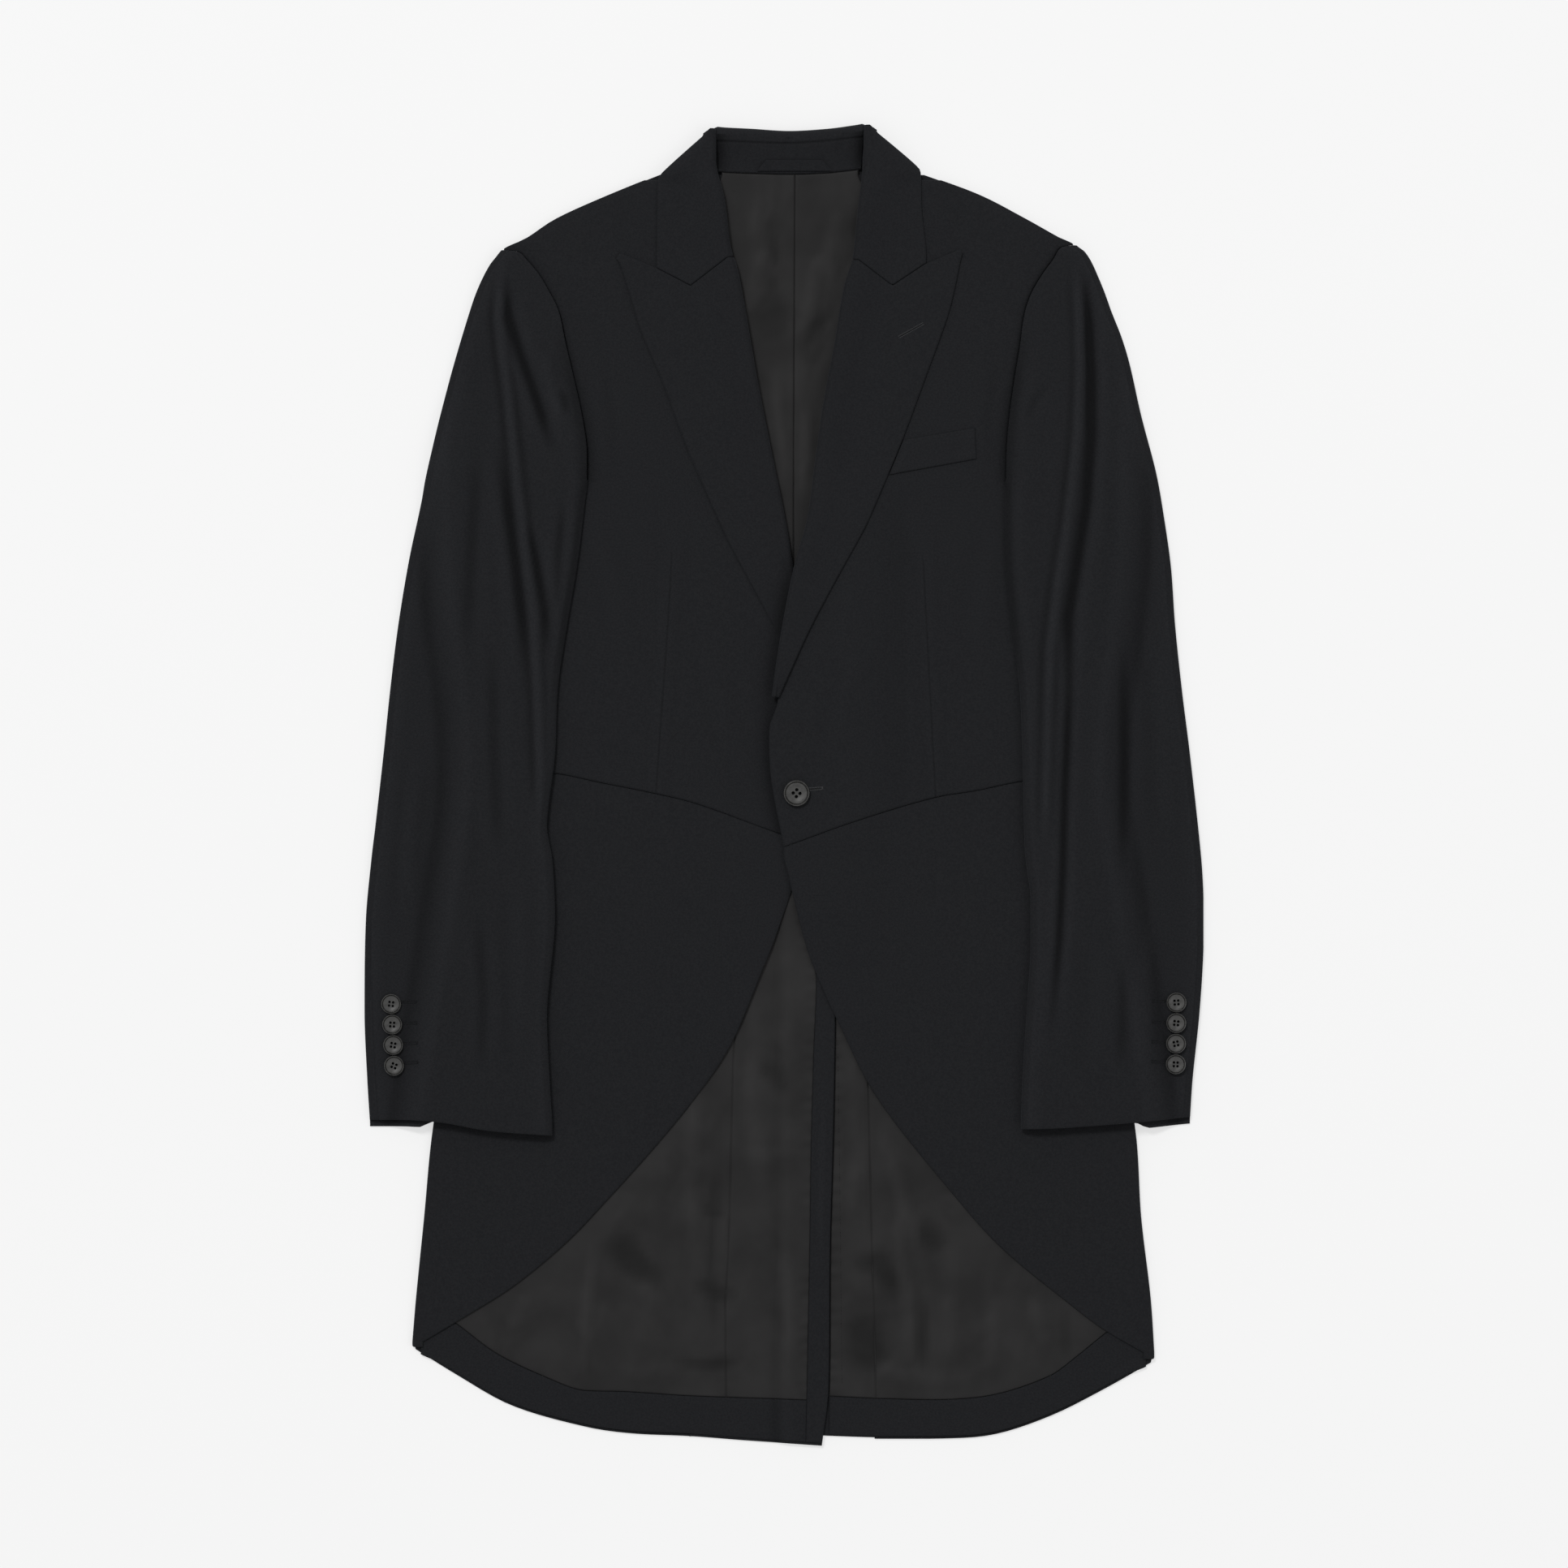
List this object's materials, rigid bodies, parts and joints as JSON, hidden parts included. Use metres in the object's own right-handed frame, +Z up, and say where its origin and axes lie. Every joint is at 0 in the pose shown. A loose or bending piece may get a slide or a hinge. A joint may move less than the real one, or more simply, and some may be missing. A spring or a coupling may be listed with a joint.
{
  "type": "morning coat",
  "caption": "Black wool cutaway tail coat laid flat with its front up, peaked lapels, closed by its front button, with its lined tails showing.",
  "frame": {"origin": "on the surface that the coat lies on, under the middle of its box", "axes": "+Z up from the surface, +Y towards the collar, +X to the right as seen from above with the collar at the top"},
  "size_m": [0.62, 0.9768, 0.0179],
  "materials": {
    "wool": "matt black wool with a fine twill",
    "lining": "soft satin, warm charcoal",
    "button": "satin dark horn look"
  },
  "bodies": {
    "root": {"back_left": "wool", "back_right": "wool", "side_body_left": "wool", "side_body_right": "wool", "forepart_left": "wool", "forepart_right": "wool", "skirt_left": "wool", "skirt_right": "wool", "lapel_left": "wool", "lapel_right": "wool", "collar_leaf_left": "wool", "collar_leaf_right": "wool", "collar_back": "wool", "chest_welt": "wool", "under_sleeve_left": "wool", "under_sleeve_right": "wool", "top_sleeve_left": "wool", "top_sleeve_right": "wool", "vent_facing": "wool", "hem_facing_left": "wool", "hem_facing_right": "wool", "lining_back_left": "lining", "lining_back_right": "lining", "lining_tail_left": "lining", "lining_tail_right": "lining", "hanger_loop": "wool", "button_front": "button", "button_cuff_left_1": "button", "button_cuff_left_2": "button", "button_cuff_left_3": "button", "button_cuff_left_4": "button", "button_cuff_right_1": "button", "button_cuff_right_2": "button", "button_cuff_right_3": "button", "button_cuff_right_4": "button"}
  },
  "joints": []
}
